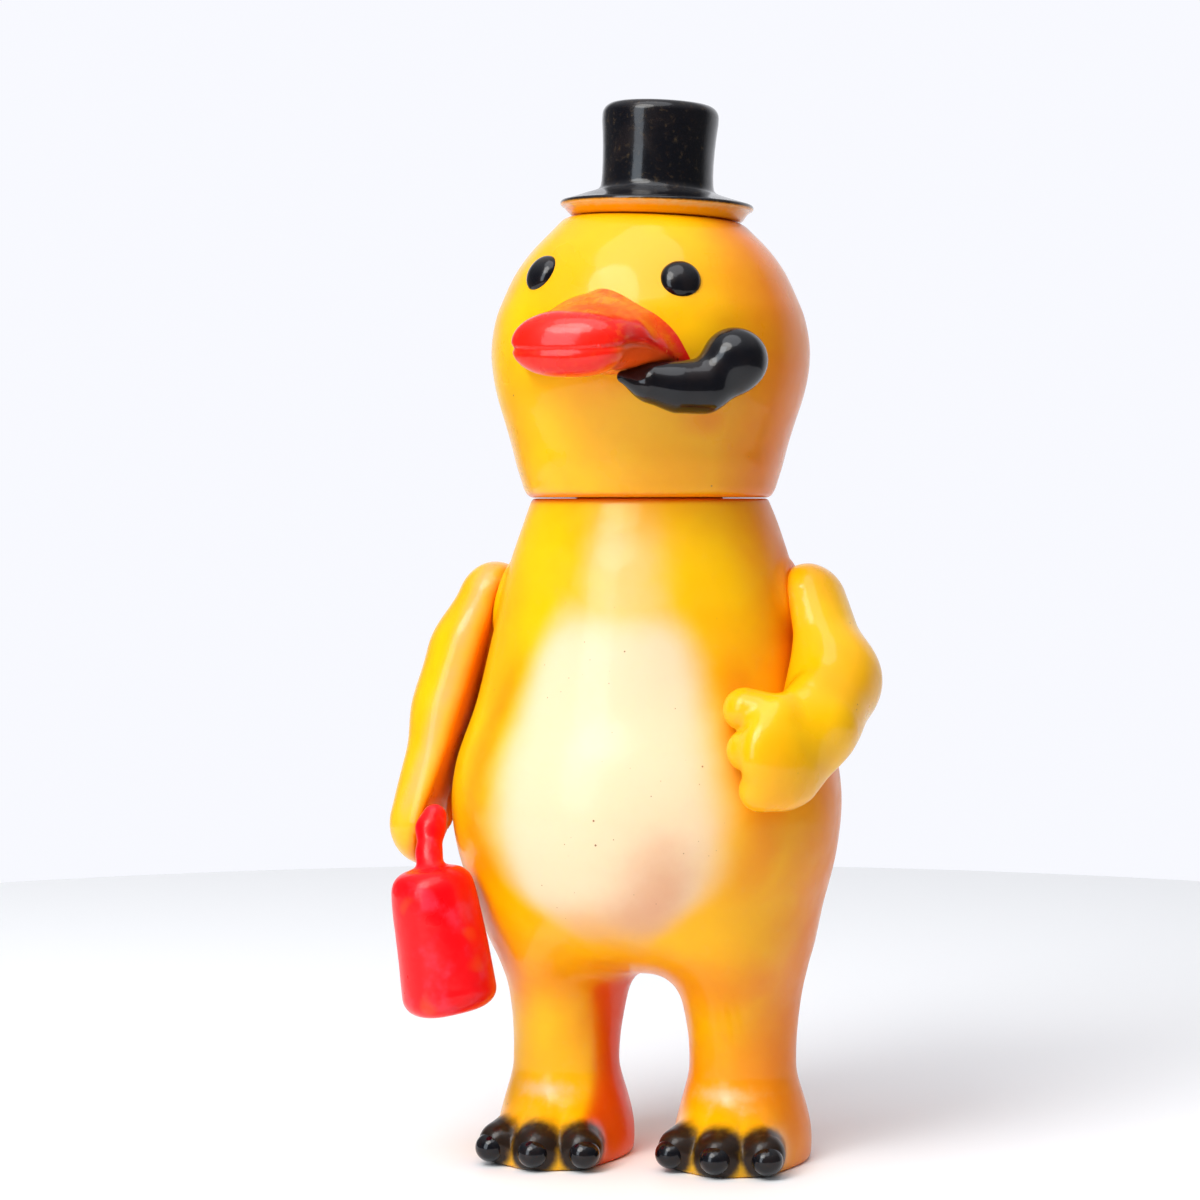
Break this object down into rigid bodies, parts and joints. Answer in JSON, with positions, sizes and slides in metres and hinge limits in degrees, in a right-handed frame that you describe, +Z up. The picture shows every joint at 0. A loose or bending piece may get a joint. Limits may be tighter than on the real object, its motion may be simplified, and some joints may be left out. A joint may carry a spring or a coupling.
{
  "type": "vinyl toy bird",
  "caption": "Standing hollow toy bird with a top hat, bill, cheek pipe and bottle; the head, hat and arms turn on flanged plugs.",
  "frame": {"origin": "centre of the footprint of the bounding box, on the floor under the soles", "axes": "+Z up, -Y out of the belly, +X towards the bird's left side"},
  "size_m": [0.1112, 0.0866, 0.2238],
  "materials": {
    "yellow_vinyl": "glossy painted soft vinyl, warm yellow",
    "bill_red": "glossy painted soft vinyl, orange-red",
    "bottle_red": "glossy painted soft vinyl, pure red",
    "black_gloss": "glossy black paint on soft vinyl"
  },
  "bodies": {
    "body": {"body_shell": "yellow_vinyl", "left_inner_claw": "black_gloss", "left_middle_claw": "black_gloss", "left_outer_claw": "black_gloss", "right_inner_claw": "black_gloss", "right_middle_claw": "black_gloss", "right_outer_claw": "black_gloss"},
    "head": {"head_shell": "yellow_vinyl", "beak": "bill_red", "pipe": "black_gloss", "left_eye": "black_gloss", "right_eye": "black_gloss"},
    "hat": {"top_hat": "black_gloss"},
    "left_arm": {"left_arm": "yellow_vinyl"},
    "right_arm": {"right_arm": "yellow_vinyl", "bottle": "bottle_red"}
  },
  "joints": [
    {"name": "head_turn", "type": "hinge", "parent": "body", "child": "head", "pos_m": [0.00311, 0.00912, 0.1396], "axis": [0, 0, 1], "continuous": true},
    {"name": "hat_turn", "type": "hinge", "parent": "head", "child": "hat", "pos_m": [0.00441, 0.00912, 0.1986], "axis": [0.0454, 0, 0.999], "continuous": true},
    {"name": "left_arm_swing", "type": "hinge", "parent": "body", "child": "left_arm", "pos_m": [0.03521, 0.00912, 0.1186], "axis": [-0.9681, 0, -0.2504], "range_deg": [0, 75]},
    {"name": "right_arm_swing", "type": "hinge", "parent": "body", "child": "right_arm", "pos_m": [-0.02899, 0.00912, 0.1186], "axis": [-0.9681, 0, 0.2504], "range_deg": [0, 95]}
  ]
}
